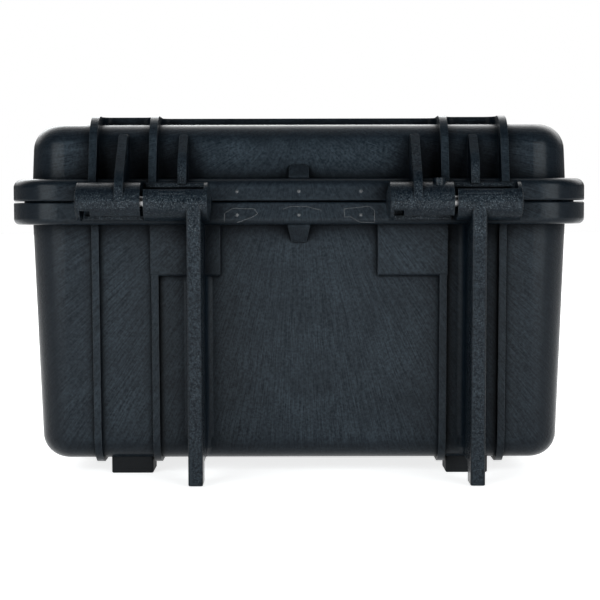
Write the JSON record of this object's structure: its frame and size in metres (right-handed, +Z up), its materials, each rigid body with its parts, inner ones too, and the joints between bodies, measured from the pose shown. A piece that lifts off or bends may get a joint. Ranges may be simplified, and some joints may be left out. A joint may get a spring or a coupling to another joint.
{
  "type": "protective hard case",
  "caption": "Rugged lidded hard case with ribbed walls, rim flange, rear barrel hinges, front latches, folding handle, feet and pressure valve.",
  "frame": {"origin": "on the ground, under the middle of the case's outer box", "axes": "+X to the right seen from the latches, +Y to the hinge side, +Z up"},
  "size_m": [0.27, 0.2475, 0.1697],
  "materials": {
    "shell": "matte, scuffed",
    "fitting": "matte",
    "knob": "satin",
    "grip": "soft",
    "foot": "soft",
    "seal": "soft",
    "steel": "bright"
  },
  "bodies": {
    "base": {"base_shell": "shell", "foot_front_left": "foot", "foot_front_right": "foot", "foot_rear_left": "foot", "foot_rear_right": "foot", "hinge_pin_left": "steel", "hinge_pin_right": "steel", "latch_pin_left": "steel", "latch_pin_right": "steel", "handle_pin_left": "steel", "handle_pin_right": "steel", "valve_body": "fitting", "valve_o_ring": "seal", "valve_nut": "fitting"},
    "lid": {"lid_shell": "shell", "lid_gasket": "seal"},
    "latch_left": {"latch_left": "fitting"},
    "latch_right": {"latch_right": "fitting"},
    "handle": {"handle_bail": "fitting", "handle_grip": "grip"},
    "knob": {"valve_knob": "knob"}
  },
  "joints": [
    {"name": "lid_hinge", "type": "hinge", "parent": "base", "child": "lid", "pos_m": [0, 0.11535, 0.1296], "axis": [-1, 0, 0], "range_deg": [0, 100]},
    {"name": "latch_left_pivot", "type": "hinge", "parent": "base", "child": "latch_left", "pos_m": [-0.081, -0.1108, 0.0933], "axis": [1, 0, 0], "range_deg": [-3.4, 110]},
    {"name": "latch_right_pivot", "type": "hinge", "parent": "base", "child": "latch_right", "pos_m": [0.081, -0.1108, 0.0933], "axis": [1, 0, 0], "range_deg": [-3.4, 110]},
    {"name": "handle_fold", "type": "hinge", "parent": "base", "child": "handle", "pos_m": [0, -0.1073, 0.1126], "axis": [-1, 0, 0], "range_deg": [0, 100]},
    {"name": "valve_turn", "type": "hinge", "parent": "base", "child": "knob", "pos_m": [0, -0.1, 0.038], "axis": [0, -1, 0], "range_deg": [0, 180]}
  ]
}
